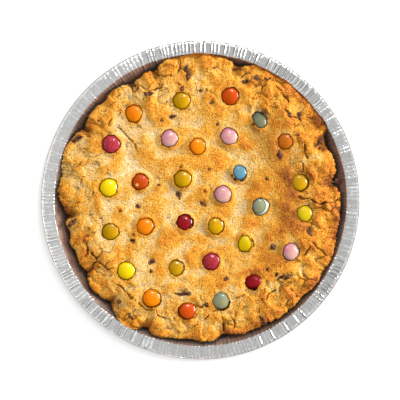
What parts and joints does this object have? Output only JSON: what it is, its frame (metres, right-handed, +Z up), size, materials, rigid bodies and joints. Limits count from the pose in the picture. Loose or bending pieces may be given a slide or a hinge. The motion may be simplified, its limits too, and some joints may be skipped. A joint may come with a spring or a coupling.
{
  "type": "monster cookie pie",
  "caption": "Thick round cookie baked in a crimped foil dish, with chocolate chips in the dough and sugar-shelled chocolate buttons pressed into its top.",
  "frame": {"origin": "on the table, under the middle of the foil dish", "axes": "+Z up; +Y points to the top edge of the picture and +X to its right edge"},
  "size_m": [0.23, 0.23, 0.032],
  "materials": {
    "foil": "bright crinkled foil",
    "dough": "golden baked crumb",
    "chocolate": "satin dark chocolate",
    "yellow_sugar": "glossy sugar shell",
    "olive_sugar": "glossy sugar shell, browned by baking",
    "orange_sugar": "glossy sugar shell",
    "brick_sugar": "glossy sugar shell",
    "red_sugar": "glossy sugar shell",
    "pink_sugar": "glossy sugar shell, a little mottled",
    "blue_sugar": "glossy sugar shell",
    "grey_sugar": "glossy sugar shell, faded by baking"
  },
  "bodies": {
    "root": {"foil_dish": "foil", "cookie": "dough", "button_01": "olive_sugar", "button_02": "brick_sugar", "button_03": "orange_sugar", "button_04": "grey_sugar", "button_05": "red_sugar", "button_06": "pink_sugar", "button_07": "orange_sugar", "button_08": "pink_sugar", "button_09": "orange_sugar", "button_10": "blue_sugar", "button_11": "yellow_sugar", "button_12": "brick_sugar", "button_13": "olive_sugar", "button_14": "olive_sugar", "button_15": "pink_sugar", "button_16": "grey_sugar", "button_17": "yellow_sugar", "button_18": "olive_sugar", "button_19": "orange_sugar", "button_20": "red_sugar", "button_21": "olive_sugar", "button_22": "yellow_sugar", "button_23": "pink_sugar", "button_24": "yellow_sugar", "button_25": "olive_sugar", "button_26": "red_sugar", "button_27": "red_sugar", "button_28": "orange_sugar", "button_29": "brick_sugar", "button_30": "grey_sugar"}
  },
  "joints": []
}
